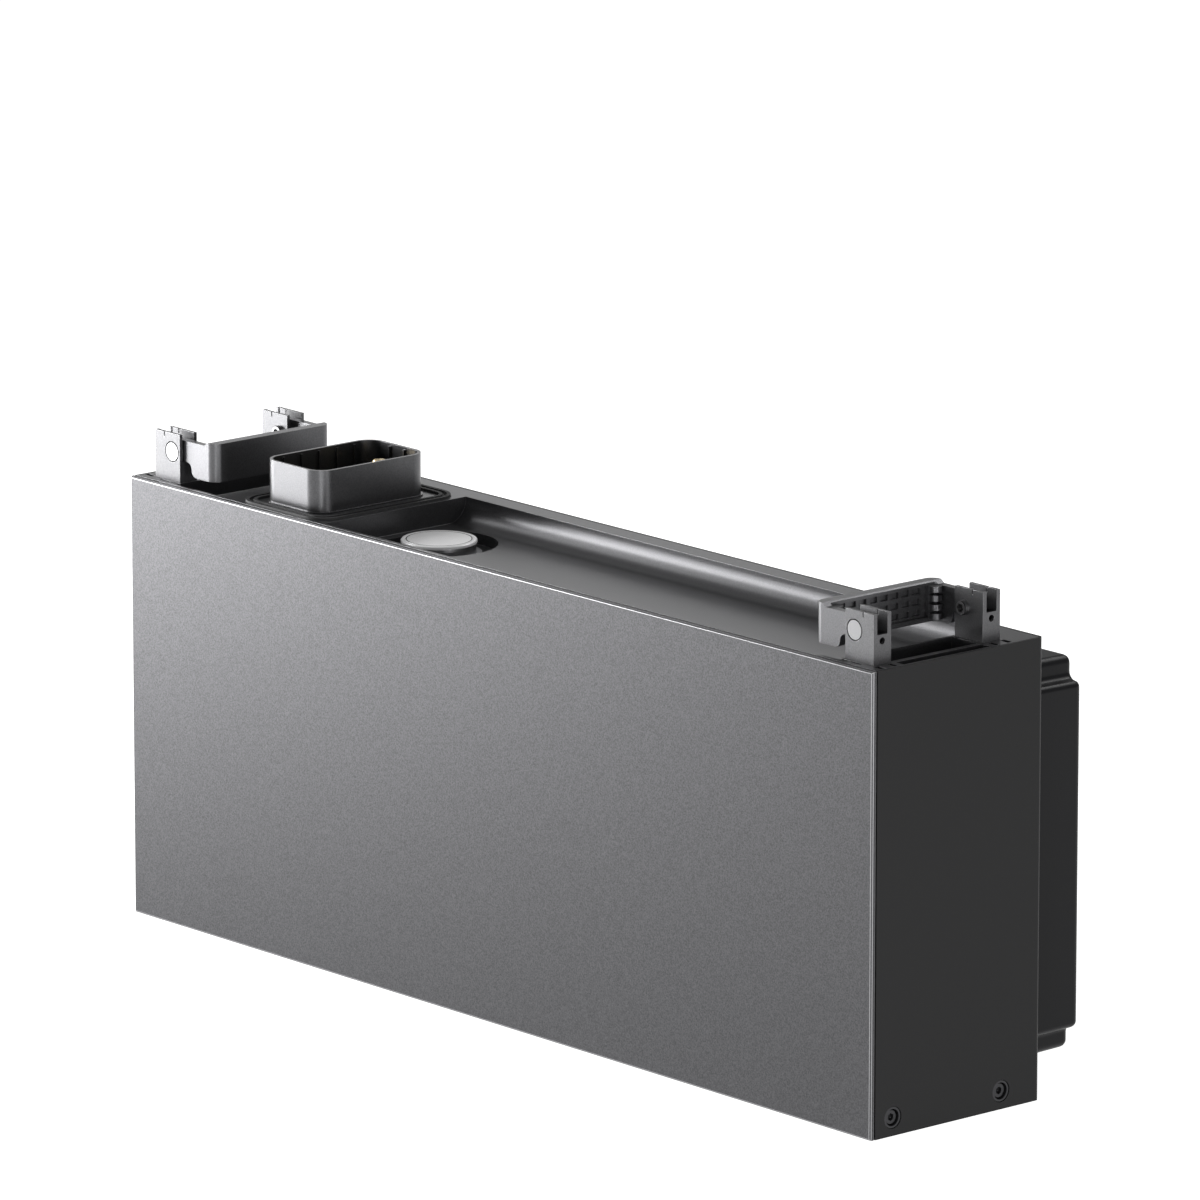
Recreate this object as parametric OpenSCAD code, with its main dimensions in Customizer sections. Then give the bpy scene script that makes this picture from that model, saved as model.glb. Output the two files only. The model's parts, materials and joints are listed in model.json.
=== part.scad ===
// Home battery module: a slim steel case on a cell pack, with folding carry handles on four
// stacking posts, a tall connector collar on top and a moulded housing on the back.
// X runs across the front, Y from the front panel to the rear cover, Z up.
// The origin is under the middle of the module, on the surface that it stands on.

/* [Case] */
// Width across the front
case_w = 680; // [676:1:700]
// Depth of the case, without the rear cover
case_d = 134; // [133:0.5:140]
// Height of the case, without the posts
case_h = 278.5; // [278.5:0.5:300]
// Thickness of the folded case sheet
sheet_t = 1.5; // [1:0.1:2]
// Outer bend radius of the rear vertical edges
bend_r = 3; // [2.5:0.5:6]
// Width of the flanges turned in at the front
flange_w = 14; // [12:1:20]

/* [Front panel] */
// Thickness of the front panel
panel_t = 3; // [2:0.5:4]
// Chamfer along the panel's front edges
panel_chamfer = 1; // [0.5:0.1:1.5]
// Thickness of the seal behind the panel
seal_t = 1; // [0.8:0.1:1.5]
// How far the seal lies inside the panel's edge
seal_inset = 1.5; // [1:0.1:3]
// Width of the seal
seal_w = 9; // [6:0.5:11]

/* [Deck] */
// Wall thickness of the moulded deck and base
wall_t = 2; // [1.6:0.1:2.4]
// Depth of the long tray and the wells below the deck
tray_depth = 15; // [15:0.5:17]
// Radius of the hollow along the back and the right end of the tray
cove_r = 14; // [10:0.5:14.5]
// Distance from the left side of the case to the tray
tray_left = 180.3; // [180:0.1:182]
// Width of the flat rim behind the tray
rear_rim = 15; // [14:0.5:18]

/* [Posts and handles] */
// Height of the posts above the deck
post_h = 30; // [29:0.5:32]
// Length of a post along the case
post_l = 24; // [22:0.5:26]
// Width of a post
post_w = 13.6; // [13:0.1:14.5]
// Thickness of the post's folded sheet
post_t = 2.2; // [1.8:0.1:2.5]
// Distance between the centre lines of the front and the rear posts
post_pitch = 85.4; // [84:0.2:88]
// Distance from the case side to the outer face of the posts
post_inset = 11.5; // [11:0.5:12.5]
// Diameter of the hinge pin
pin_d = 8.8; // [7:0.1:9]
// Diameter of the hinge pin's flush head
pin_head_d = 12.4; // [11:0.1:12.6]
// Height of the hinge pin above the deck
pin_z = 18.3; // [17.5:0.1:19]
// Distance from the hinge pin to the far face of the grip
handle_reach = 38; // [35:0.2:39]
// Height of the grip
grip_h = 24; // [22:0.5:25]
// Depth of the grip
grip_t = 8; // [7:0.5:9]
// Thickness of a handle arm
arm_t = 5; // [4:0.5:6]
// Corner radius of the handle
handle_r = 6.5; // [6.5:0.5:9]

/* [Connector] */
// Outer length of the connector collar
collar_l = 87; // [84:1:88]
// Outer width of the connector collar
collar_w = 55; // [53:0.5:56]
// Height of the connector collar above the deck
collar_h = 26.8; // [25:0.2:27]
// Wall of the connector collar
collar_t = 2; // [1.6:0.1:2.5]
// Corner radius of the connector collar
collar_r = 12; // [10:0.5:14]
// Width of the gasket round the collar
gasket_w = 8; // [6:0.5:8]

/* [Rear cover] */
// How far the rear cover stands out of the case
cover_d = 49; // [45:0.5:52]
// Distance from the case side to the rear cover
cover_side = 19; // [18:0.5:22]
// Height of the rear cover's foot above the floor
cover_low = 16; // [15:0.5:18]
// Distance from the top of the rear cover to the top of the case
cover_high = 22.5; // [22:0.5:24]
// Wall of the rear cover
cover_t = 3; // [2.5:0.1:3.5]
// How much narrower the cover's top and bottom strips are on each side
cover_step = 8.5; // [7:0.5:9]
// Height of the narrower strips
cover_strip = 14; // [12:0.5:16]
// How far the cover's top and bottom faces close in towards the back
cover_draft = 1; // [0.5:0.1:1.4]

/* [Cells] */
// Number of cells in each of the two rows
cells_per_row = 8; // [7:1:9]
// Distance from the middle of the connector to the first cell
cell_side = 47.1; // [46:0.1:50]
// Free room between the front of the case and the cells
cell_room = 14.5; // [14:0.5:18]
// Free room between the cells and the rear cover, above and below them
cell_rise = 4.5; // [4.5:0.1:6]
// Free room between the two rows
row_gap = 5; // [5:0.5:8]
// Thickness of the pads between the cells
spacer_t = 1.2; // [0.8:0.1:1.2]

/* [Hidden] */
$fn = 64;

// Small step that makes a cut run past a face
over = 1;
// Gap between parts that slide together when the module is put together
slip = 0.2;

half_w = case_w / 2;
y_front = -(case_d + cover_d) / 2;
y_wrap = y_front + panel_t + seal_t;
y_back = y_front + case_d;
y_rear = y_back + cover_d;
deck_x = half_w - sheet_t - slip;
deck_back = y_back - sheet_t - slip;
deck_t = 2.5;
tray_floor = case_h - tray_depth;

// Posts, pins and handles stand round a centre line that lies nearer the front
hinge_y = y_front + 60.5;
post_y = post_pitch / 2;
post_x = half_w - post_inset;
post_inner = post_x - post_l;
pin_x = post_x - 16.3;
pin_height = case_h + pin_z;
running_gap = 0.05;
side_gap = 0.3;
arm_face = post_y + post_w / 2 - post_t - side_gap - 0.5;
eye_r = 7;
eye_w = post_w - 2 * post_t - 2 * side_gap;
grip_x = pin_x - handle_reach;
grip_low = case_h + 4.3;
grip_top = grip_low + grip_h;
arm_low = case_h + 13.2;
arm_top = grip_top - 2;

// Wells, slots and openings of the deck
well_x = half_w - 77;
well_half = post_y - post_w / 2 - side_gap - wall_t;
well_front = y_front + 6.5;
well_back = y_front + 116;
end_well_x = post_x - 2.2;
slot_in = half_w - 10;
slot_out = half_w - 3;
tray_front = y_front + 7;
tray_rear = y_back - rear_rim;
tray_start = -half_w + tray_left;
end_rim = 1.8;
tray_right = post_inner - end_rim;
shelf_z = tray_floor - wall_t - 1.5;
bracket_t = 2.5;

// Connector and its mating port underneath
collar_x = -half_w + 134.5;
collar_y = y_front + 61.3;
gasket_depth = 1.5;
gasket_gap = gasket_w + 4;
gasket_low = [collar_x - collar_w / 2 - gasket_gap, collar_y - collar_l / 2 - gasket_gap];
gasket_high = [collar_x + collar_w / 2 + gasket_gap + 4, collar_y + collar_l / 2 + gasket_gap + 1];
collar_flange_t = 2.5;
collar_flange_top = case_h - gasket_depth - wall_t;
collar_flange = 4;
stack_gap = 2.7;
pocket_h = post_h - stack_gap;
pocket_gap = 4;
lock_z = 11;

// Relief vent in its round pocket
vent_x = -half_w + 217;
vent_y = y_front + 66.5;
vent_r = 23.3;
vent_pocket_r = 36;
vent_pocket_depth = 7;
vent_floor = tray_floor - vent_pocket_depth;
vent_chord = -half_w + 188;

// Rear cover outline
cover_x = half_w - cover_side;
cover_h = case_h - cover_low - cover_high;
cover_z = cover_low + cover_h / 2;
cover_corner = 5;
cover_edge = 4;
cover_turn = 3;
cover_gasket_t = 1;
cover_flange_t = 3;
cover_flange_w = 12;
cover_flange_y = y_back - sheet_t - cover_gasket_t - cover_flange_t;
cover_arc_steps = 5;

// Cell pack
end_plate_t = 8;
pack_x = collar_x + cell_side;
pack_w = half_w - 82 - end_plate_t - pack_x;
cell_pitch = (pack_w + spacer_t) / cells_per_row;
cell_t = cell_pitch - spacer_t;
cell_rear = y_rear - cover_t - 1.5;
cell_front = y_wrap + cell_room;
cell_l = cell_rear - cell_front;
cell_h = (cover_h - 2 * cover_t - 2 * cell_rise - row_gap) / 2;
cell_mid = (cell_rear + cell_front) / 2;
row_z = [cover_z - row_gap / 2 - cell_h, cover_z + row_gap / 2];
terminal_y = 55;
terminal_h = 2.5;
busbar_t = 1.8;
busbar_w = 12;

module block(low, high) {
    translate(low) cube(high - low);
}

// Plan of a rectangle with four round corners
module round_plan(low, high, r) {
    translate([low.x + r, low.y]) square([high.x - low.x - 2 * r, high.y - low.y]);
    translate([low.x, low.y + r]) square([high.x - low.x, high.y - low.y - 2 * r]);
    for (x = [low.x + r, high.x - r], y = [low.y + r, high.y - r])
        translate([x, y]) circle(r);
}

module round_block(low, high, r) {
    translate([0, 0, low.z]) linear_extrude(high.z - low.z)
        round_plan([low.x, low.y], [high.x, high.y], r);
}

// Extrudes a profile drawn in Y and Z along X
module along_x(x0, x1) {
    translate([x0, 0, 0]) rotate([90, 0, 90]) linear_extrude(x1 - x0) children();
}

// Extrudes a profile drawn in X and Z along Y
module along_y(y0, y1) {
    translate([0, y1, 0]) rotate([90, 0, 0]) linear_extrude(y1 - y0) children();
}

// Round bar between two heights, widths or depths
module rod_x(x0, x1, y, z, d) {
    translate([x0, y, z]) rotate([0, 90, 0]) cylinder(h = x1 - x0, d = d);
}

module rod_y(x, y0, y1, z, d) {
    translate([x, y1, z]) rotate([90, 0, 0]) cylinder(h = y1 - y0, d = d);
}

module rod_z(x, y, z0, z1, d) {
    translate([x, y, z0]) cylinder(h = z1 - z0, d = d);
}

module both_sides() {
    children();
    mirror([1, 0, 0]) children();
}

// Plan of the wrap of folded sheet, with its two rear corners round
module wrap_plan(x, y, r) {
    translate([-x, y_wrap]) square([2 * x, y - r - y_wrap]);
    translate([-x + r, y_wrap]) square([2 * (x - r), y - y_wrap]);
    for (side = [-1, 1]) translate([side * (x - r), y - r]) circle(r);
}

// Places of the screws that hold the rear cover, as [x, z]
screw_side_x = cover_x + cover_flange_w / 2 + 0.5;
screw_spread = [-1, -1 / 3, 1 / 3, 1];
screw_rows = [for (k = screw_spread) cover_z + k * (cover_h / 2 - 8)];
screw_columns = [for (k = screw_spread) k * (cover_x - 81)];
screw_low_z = cover_z - cover_h / 2 - 7;
screw_high_z = cover_z + cover_h / 2 + 7;
cover_screws = concat(
    [for (side = [-1, 1], z = screw_rows) [side * screw_side_x, z]],
    [for (x = screw_columns, z = [screw_low_z, screw_high_z]) [x, z]]);
cover_screw_d = 4;

// Places of the studs on the back of the front panel, as [x, z]
stud_x = half_w - sheet_t - flange_w + 4;
stud_low = 40;
stud_high = shelf_z - 49;
stud_rows = 4;
stud_places = [for (side = [-1, 1], i = [0 : stud_rows - 1])
    [side * stud_x, stud_low + i * (stud_high - stud_low) / (stud_rows - 1)]];
stud_d = 4;

module front_panel() {
    c = panel_chamfer;
    back = y_front + panel_t;
    color("#7c7d82") intersection() {
        linear_extrude(case_h) polygon([[-half_w, back], [-half_w, y_front + c], [-half_w + c, y_front],
            [half_w - c, y_front], [half_w, y_front + c], [half_w, back]]);
        along_x(-half_w - over, half_w + over) polygon([[back, 0], [back, case_h],
            [y_front + c, case_h], [y_front, case_h - c], [y_front, c], [y_front + c, 0]]);
    }
}

module front_seal() {
    color("#101010") difference() {
        block([-half_w + seal_inset, y_front + panel_t, seal_inset],
            [half_w - seal_inset, y_wrap, case_h - seal_inset]);
        block([-half_w + seal_inset + seal_w, y_front, seal_inset + seal_w],
            [half_w - seal_inset - seal_w, y_wrap + over, case_h - seal_inset - seal_w]);
        for (p = stud_places) rod_y(p.x, y_front, y_wrap + over, p.y, stud_d + 2 * slip);
    }
}

// Studs pressed into the panel, each with its nut behind the case flange
module panel_studs() {
    nut_d = 8;
    nut_t = 3.2;
    nut_y = y_wrap + sheet_t;
    color("#9a9a9c") for (p = stud_places) {
        rod_y(p.x, y_front + panel_t, nut_y + nut_t + 1.5, p.y, stud_d);
        translate([p.x, nut_y + nut_t, p.y]) rotate([90, 0, 0]) cylinder(h = nut_t, d = nut_d, $fn = 6);
    }
}

module case_body() {
    color("#323234") difference() {
        linear_extrude(case_h) difference() {
            wrap_plan(half_w, y_back, bend_r);
            difference() {
                wrap_plan(half_w - sheet_t, y_back - sheet_t, bend_r - sheet_t);
                translate([-half_w, y_wrap - over]) square([case_w, sheet_t + over]);
            }
            translate([-half_w + sheet_t + flange_w, y_wrap - over])
                square([2 * (half_w - sheet_t - flange_w), sheet_t + 2 * over]);
        }
        for (z = [-over, case_h - deck_t - slip])
            block([-half_w + sheet_t, y_wrap - over, z],
                [half_w - sheet_t, y_wrap + sheet_t + slip, z + deck_t + slip + over]);
        along_y(y_back - sheet_t - over, y_back + over) polygon(cover_outline(-slip, 1));
        for (p = cover_screws) rod_y(p.x, y_back - 4, y_back + over, p.y, cover_screw_d + 2 * slip);
        for (p = stud_places) rod_y(p.x, y_wrap - over, y_wrap + 4, p.y, stud_d + 2 * slip);
        for (y = lock_y) rod_x(-half_w - over, half_w + over, y, lock_z, bush_d + 2 * slip);
    }
}

// Main hollow of the deck: a long tray with a quarter-round hollow along its back and right end
module tray_hollow(grow) {
    r = cove_r + grow;
    cove_z = tray_floor + cove_r;
    intersection() {
        along_x(tray_start - grow, tray_right + grow) {
            translate([tray_front - grow, tray_floor - grow])
                square([tray_rear - cove_r - tray_front + grow, tray_depth + over + grow]);
            translate([tray_rear - cove_r, cove_z]) circle(r);
            translate([tray_rear - cove_r - over, cove_z]) square([cove_r + over + grow, tray_depth]);
        }
        along_y(tray_front - grow, tray_rear + grow) {
            translate([tray_start - grow, tray_floor - grow])
                square([tray_right - cove_r - tray_start + grow, tray_depth + over + grow]);
            translate([tray_right - cove_r, cove_z]) circle(r);
            translate([tray_right - cove_r - over, cove_z]) square([cove_r + over + grow, tray_depth]);
        }
    }
}

// Pocket for the relief vent: a round sink cut off straight at its left
module vent_hollow(grow) {
    intersection() {
        translate([vent_x, vent_y, vent_floor - grow])
            cylinder(h = case_h, r = vent_pocket_r + grow, $fn = 96);
        block([vent_chord - grow, y_front, 0], [half_w, tray_rear, tray_floor + over]);
    }
}

// Well between the two posts of one end, and the narrow drain slot beside it
module end_well(grow) {
    block([post_inner - grow, hinge_y - well_half - grow, tray_floor + 3 - grow],
        [end_well_x + grow, hinge_y + well_half + grow, case_h + over]);
    block([slot_in - grow, hinge_y - well_half - grow, tray_floor + 5 - grow],
        [slot_out + grow, hinge_y + well_half + grow, case_h + over]);
}

// Small slots round the foot of each post, as [x, y] of their low corner and their size
slot_depth = 6;
slot_line = post_w / 2 + side_gap + 1.1;
foot_slots = [
    [[post_inner - 4, -slot_line - 2], [9.5, 2]],
    [[post_inner + 7.5, -slot_line - 2], [9, 2]],
    [[post_x + 1.5, -8.4], [7, 3.4]],
    [[post_x + 1.5, 2], [7, 2.4]]];

module post_slots(grow) {
    for (end = [-1, 1], s = foot_slots)
        translate([0, hinge_y + end * post_y, 0]) mirror([0, end > 0 ? 1 : 0, 0])
            block([s[0].x - grow, s[0].y - grow, case_h - slot_depth - grow],
                [s[0].x + s[1].x + grow, s[0].y + s[1].y + grow, case_h + over]);
}

module left_well(grow) {
    block([-post_inner + 2 - grow, well_front - grow, tray_floor - grow],
        [-well_x + grow, well_back + grow, case_h + over]);
}

// Plan of a band of even width along the gasket's outline, between two distances from its edge
module gasket_band(from, to) {
    corner = collar_r + 4;
    difference() {
        round_plan([gasket_low.x + from, gasket_low.y + from],
            [gasket_high.x - from, gasket_high.y - from], corner - from);
        round_plan([gasket_low.x + to, gasket_low.y + to],
            [gasket_high.x - to, gasket_high.y - to], corner - to);
    }
}

module gasket_groove(grow) {
    translate([0, 0, case_h - gasket_depth - grow]) linear_extrude(gasket_depth + over + grow)
        gasket_band(-grow, gasket_w + grow);
}

module deck_hollows(grow) {
    tray_hollow(grow);
    vent_hollow(grow);
    left_well(grow);
    both_sides() end_well(grow);
    both_sides() post_slots(grow);
    gasket_groove(grow);
}

module collar_plan(grow) {
    round_plan([collar_x - collar_w / 2 - grow, collar_y - collar_l / 2 - grow],
        [collar_x + collar_w / 2 + grow, collar_y + collar_l / 2 + grow], collar_r + grow);
}

// Outline of a post with its clearance in the deck
module post_opening() {
    for (end = [-1, 1])
        block([post_inner - side_gap, hinge_y + end * post_y - post_w / 2 - side_gap, case_h - 40],
            [post_x + side_gap, hinge_y + end * post_y + post_w / 2 + side_gap, case_h + over]);
}

module top_deck() {
    skirt_h = 10;
    color("#6d6e72") difference() {
        intersection() {
            union() {
                block([-deck_x, y_wrap, case_h - deck_t], [deck_x, deck_back, case_h]);
                difference() {
                    block([-deck_x, y_wrap + sheet_t + slip, case_h - skirt_h],
                        [deck_x, deck_back, case_h]);
                    block([-deck_x + wall_t, y_wrap + sheet_t + slip + wall_t, 0],
                        [deck_x - wall_t, deck_back - wall_t, case_h]);
                }
                deck_hollows(wall_t);
            }
            linear_extrude(case_h) wrap_plan(deck_x, deck_back, bend_r - sheet_t);
            union() {
                block([-half_w, y_wrap, case_h - deck_t], [half_w, y_back, case_h]);
                block([-half_w, y_wrap + sheet_t + slip, 0], [half_w, y_back, case_h]);
            }
        }
        deck_hollows(0);
        both_sides() post_opening();
        translate([0, 0, case_h - 2 * deck_t]) linear_extrude(3 * deck_t) collar_plan(slip);
        translate([vent_x, vent_y, vent_floor - wall_t - over])
            cylinder(h = wall_t + 2 * over, r = vent_neck_r + slip);
    }
}

// Pockets in the underside that take the posts, the handles and the collar of a module below
pocket_in = grip_x - pocket_gap;
pocket_out = post_x + 3.5;
pocket_half = post_y + post_w / 2 + 3.5;
port_gap = 4;

module foot_hollow(grow) {
    round_block([pocket_in - grow, hinge_y - pocket_half - grow, -over],
        [pocket_out + grow, hinge_y + pocket_half + grow, pocket_h + grow], 3 + grow);
}

module port_hollow(grow) {
    translate([0, 0, -over]) linear_extrude(pocket_h + over + grow) collar_plan(port_gap + grow);
}

lock_y = [hinge_y - post_y, hinge_y + post_y];
bush_d = 13;

// Bottom plate of the case, open under the pockets
module base_tray() {
    color("#2b2c2e") difference() {
        linear_extrude(deck_t) wrap_plan(deck_x, deck_back, bend_r - sheet_t);
        both_sides() foot_hollow(0);
        port_hollow(0);
    }
}

// Pocket for the two posts and the handle of one end, with bosses for the lock screws
module foot_pocket() {
    lug = 5;
    difference() {
        union() {
            intersection() {
                foot_hollow(wall_t);
                block([0, y_front, deck_t], [half_w, y_back, case_h]);
            }
            block([pocket_in - wall_t - lug, hinge_y - pocket_half - wall_t, deck_t],
                [pocket_out, hinge_y + pocket_half + wall_t + lug, deck_t + wall_t]);
            for (y = lock_y)
                block([pocket_out, y - bush_d / 2 - wall_t, deck_t],
                    [deck_x, y + bush_d / 2 + wall_t, lock_z + bush_d / 2 + wall_t]);
        }
        foot_hollow(0);
        for (y = lock_y) rod_x(pocket_out - over, half_w, y, lock_z, bush_d);
    }
}

// Pocket for the collar, with the opening of the port block in its roof
module port_pocket() {
    lug = 3.5;
    difference() {
        translate([0, 0, deck_t]) {
            linear_extrude(pocket_h + wall_t - deck_t) collar_plan(port_gap + wall_t);
            linear_extrude(wall_t) collar_plan(port_gap + wall_t + lug);
        }
        port_hollow(0);
        translate([0, 0, pocket_h - over]) linear_extrude(wall_t + 2 * over) socket_plan(slip);
    }
}

module base_pockets() {
    color("#2b2c2e") {
        both_sides() foot_pocket();
        port_pocket();
    }
}

// One quarter of the rear cover's outline, drawn in by inset: a round corner of the narrow
// strip, then the double curve that widens to the full width
function cover_quarter(inset) =
    let (swing = cover_step / 2,
        strip_x = cover_x - cover_step,
        top = cover_h / 2,
        turn = top - cover_strip,
        corner = cover_corner - inset)
    concat(
        arc(strip_x - cover_corner, top - cover_corner, corner, 90, 0, cover_arc_steps),
        arc(strip_x + swing, turn + swing, swing + inset, 180, 270, cover_arc_steps),
        without_first(arc(strip_x + swing, turn - swing, swing - inset, 90, 0, cover_arc_steps)));

function without_first(list) = [for (i = [1 : len(list) - 1]) list[i]];

function reversed(list) = [for (i = [len(list) - 1 : -1 : 0]) list[i]];

// Whole outline, with its height drawn in by squash for the draft of the top and bottom
function cover_outline(inset, squash) =
    let (q = cover_quarter(inset),
        right = concat(q, [for (p = reversed(q)) [p.x, -p.y]]),
        whole = concat(right, [for (p = reversed(right)) [-p.x, p.y]]))
    [for (p = whole) [p.x, cover_z + p.y * squash]];

// Solid through a list of rings, each [y, inset, squash]
module cover_loft(rings) {
    outlines = [for (ring = rings) [for (p = cover_outline(ring[1], ring[2])) [p.x, ring[0], p.y]]];
    n = len(outlines[0]);
    last = len(rings) - 1;
    polyhedron(
        points = [for (o = outlines, p = o) p],
        faces = concat(
            [[for (i = [0 : n - 1]) i]],
            [for (k = [0 : last - 1], i = [0 : n - 1])
                [k * n + i, (k + 1) * n + i, (k + 1) * n + (i + 1) % n]],
            [for (k = [0 : last - 1], i = [0 : n - 1])
                [k * n + i, (k + 1) * n + (i + 1) % n, k * n + (i + 1) % n]],
            [[for (i = [n - 1 : -1 : 0]) last * n + i]]));
}

function draft_at(y) = 1 - cover_draft / (cover_h / 2) * (y - cover_flange_y) / (y_rear - cover_flange_y);

module rear_cover() {
    round_steps = 4;
    inner_y = y_rear - cover_t;
    flange_x = cover_x + cover_flange_w;
    flange_z = cover_h / 2 + cover_flange_w;
    color("#28282a") difference() {
        union() {
            cover_loft(concat(
                [[cover_flange_y + cover_flange_t / 2, 0, 1]],
                [for (i = [0 : round_steps]) let (a = 90 * i / round_steps,
                    y = y_rear - cover_edge + cover_edge * sin(a))
                    [y, cover_turn * (1 - cos(a)), draft_at(y)]]));
            block([-flange_x, cover_flange_y, cover_z - flange_z],
                [flange_x, cover_flange_y + cover_flange_t, cover_z + flange_z]);
        }
        along_y(cover_flange_y - over, inner_y) polygon(cover_outline(cover_t, draft_at(inner_y)));
        for (p = cover_screws) rod_y(p.x, cover_flange_y - over, y_back, p.y, cover_screw_d);
    }
}

module rear_cover_gasket() {
    margin = cover_flange_w - 0.5;
    color("#101010") difference() {
        block([-cover_x - margin, y_back - sheet_t - cover_gasket_t, cover_z - cover_h / 2 - margin],
            [cover_x + margin, y_back - sheet_t, cover_z + cover_h / 2 + margin]);
        along_y(cover_flange_y, y_back) polygon(cover_outline(-slip, 1));
        for (p = cover_screws) rod_y(p.x, cover_flange_y, y_back, p.y, cover_screw_d + 2 * slip);
    }
}

module rear_cover_screws() {
    head_d = 7.5;
    head_t = 2.4;
    color("#3a3a3c") for (p = cover_screws) difference() {
        union() {
            rod_y(p.x, cover_flange_y - 3, y_back, p.y, cover_screw_d);
            rod_y(p.x, y_back, y_back + head_t, p.y, head_d);
        }
        translate([p.x, y_back + head_t + over, p.y]) rotate([90, 0, 0])
            cylinder(h = 1.4 + over, d = 2.9, $fn = 6);
    }
}

// Front post of the right side: a folded channel that is open at the top and towards the middle
module right_post() {
    lip = 9.5;
    slot_w = 8;
    slot_z = case_h + 17.5;
    hole_z = case_h + lock_z + stack_gap;
    hole_d = 4.2;
    stop_z = arm_low - side_gap;
    y0 = hinge_y - post_y - post_w / 2;
    y1 = y0 + post_w;
    mid = hinge_y - post_y;
    difference() {
        union() {
            difference() {
                block([post_inner, y0, shelf_z], [post_x, y1, case_h + post_h]);
                block([post_inner - over, y0 + post_t, shelf_z + post_t],
                    [post_x - post_t, y1 - post_t, case_h + post_h + over]);
            }
            block([post_inner, y0 + post_t, shelf_z], [post_inner + stop_l, y1 - post_t, stop_z]);
        }
        block([post_x - post_t - over, mid - slot_w / 2, slot_z],
            [post_x + over, mid + slot_w / 2, case_h + post_h + over]);
        rod_x(post_x - post_t - over, post_x + over, mid, hole_z, hole_d);
        for (y = [y0, y1 - post_t])
            block([post_x - lip, y - over, case_h + post_h - 3],
                [post_x - lip + 1, y + post_t + over, case_h + post_h + over]);
        rod_y(pin_x, y0 - over, y0 + post_t + over, pin_height, pin_head_d + 0.8);
        rod_y(pin_x, y1 - post_t - over, y1 + over, pin_height, pin_d);
        for (x = post_screw_x) rod_z(x, mid, shelf_z - over, shelf_z + post_t + over, post_screw_d);
    }
}

stop_l = 3;
post_screw_d = 4;
post_screw_head = 7;
post_screw_x = [post_x - post_t - post_screw_head / 2 - side_gap,
    post_inner + stop_l + post_screw_head / 2 + side_gap];

module rear_side() {
    translate([0, 2 * hinge_y, 0]) mirror([0, 1, 0]) children();
}

module left_front_post() { color("#4a4b4e") mirror([1, 0, 0]) right_post(); }
module left_rear_post() { color("#4a4b4e") mirror([1, 0, 0]) rear_side() right_post(); }
module right_front_post() { color("#4a4b4e") right_post(); }
module right_rear_post() { color("#4a4b4e") rear_side() right_post(); }

// Points along an arc, from one angle to another
function arc(cx, cz, r, from, to, steps) =
    [for (i = [0 : steps]) let (a = from + (to - from) * i / steps) [cx + r * cos(a), cz + r * sin(a)]];

// Side outline of the handle: a deep grip, a double curve under it and a shallow arm to the pin
module handle_side() {
    swing = (arm_low - grip_low) / 2;
    bend_x = pin_x - 15.5;
    lip_x = grip_x + 7;
    polygon(concat(
        [[grip_x, grip_low]],
        arc(bend_x - swing, grip_low + swing, swing, -90, 0, 6),
        arc(bend_x + swing, grip_low + swing, swing, 180, 90, 6),
        [[pin_x, arm_low], [pin_x, arm_top], [lip_x + 3, arm_top], [lip_x, grip_top], [grip_x, grip_top]]));
}

module handle_plan() {
    far = pin_x + 30;
    low = hinge_y - arm_face;
    high = hinge_y + arm_face;
    difference() {
        round_plan([grip_x, low], [far, high], handle_r);
        round_plan([grip_x + grip_t, low + arm_t], [far + handle_r, high - arm_t], handle_r - arm_t);
    }
}

// Right handle: one moulding with a channelled grip, a field of small pockets and corner fins
module handle() {
    pocket_cols = 8;
    pocket_rows = 3;
    pocket_size = [1.8, 5.6, 3.6];
    pitch_y = 8.3;
    pitch_z = 6.4;
    recess_x = grip_x + 4.5;
    rail = 2.6;
    recess_half = arm_face - arm_t - 5;
    grip_mid = (grip_low + grip_top) / 2;
    knuckle_h = 3.4;
    knuckle_pitch = 5.4;
    difference() {
        union() {
            intersection() {
                translate([0, 0, grip_low - over]) linear_extrude(grip_h + 2 * over) handle_plan();
                along_y(hinge_y - arm_face - over, hinge_y + arm_face + over) handle_side();
            }
            for (end = [-1, 1])
                rod_y(pin_x, hinge_y + end * post_y - eye_w / 2, hinge_y + end * post_y + eye_w / 2,
                    pin_height, 2 * eye_r);
            for (end = [-1, 1], i = [-1.5 : 1 : 1.5])
                knuckle(end, grip_mid + i * knuckle_pitch, knuckle_h);
        }
        block([recess_x, hinge_y - recess_half, grip_low + rail],
            [grip_x + grip_t + over, hinge_y + recess_half, grip_top - rail]);
        for (col = [0 : pocket_cols - 1], row = [-1 : pocket_rows - 2])
            translate([recess_x - pocket_size.x,
                hinge_y + (col - (pocket_cols - 1) / 2) * pitch_y - pocket_size.y / 2,
                grip_mid + row * pitch_z - pocket_size.z / 2])
                cube([pocket_size.x + over, pocket_size.y, pocket_size.z]);
        for (end = [-1, 1])
            rod_y(pin_x, hinge_y + end * post_y - post_w, hinge_y + end * post_y + post_w,
                pin_height, pin_d + 2 * running_gap);
    }
}

// Round rib that fills an inner corner of the handle
module knuckle(end, z, h) {
    r = 4.2;
    rod_z(grip_x + grip_t + r - 1.5, hinge_y + end * (arm_face - arm_t - r + 1.5), z - h / 2, z + h / 2, 2 * r);
}

module left_handle() { color("#47484b") mirror([1, 0, 0]) handle(); }
module right_handle() { color("#47484b") handle(); }

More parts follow.
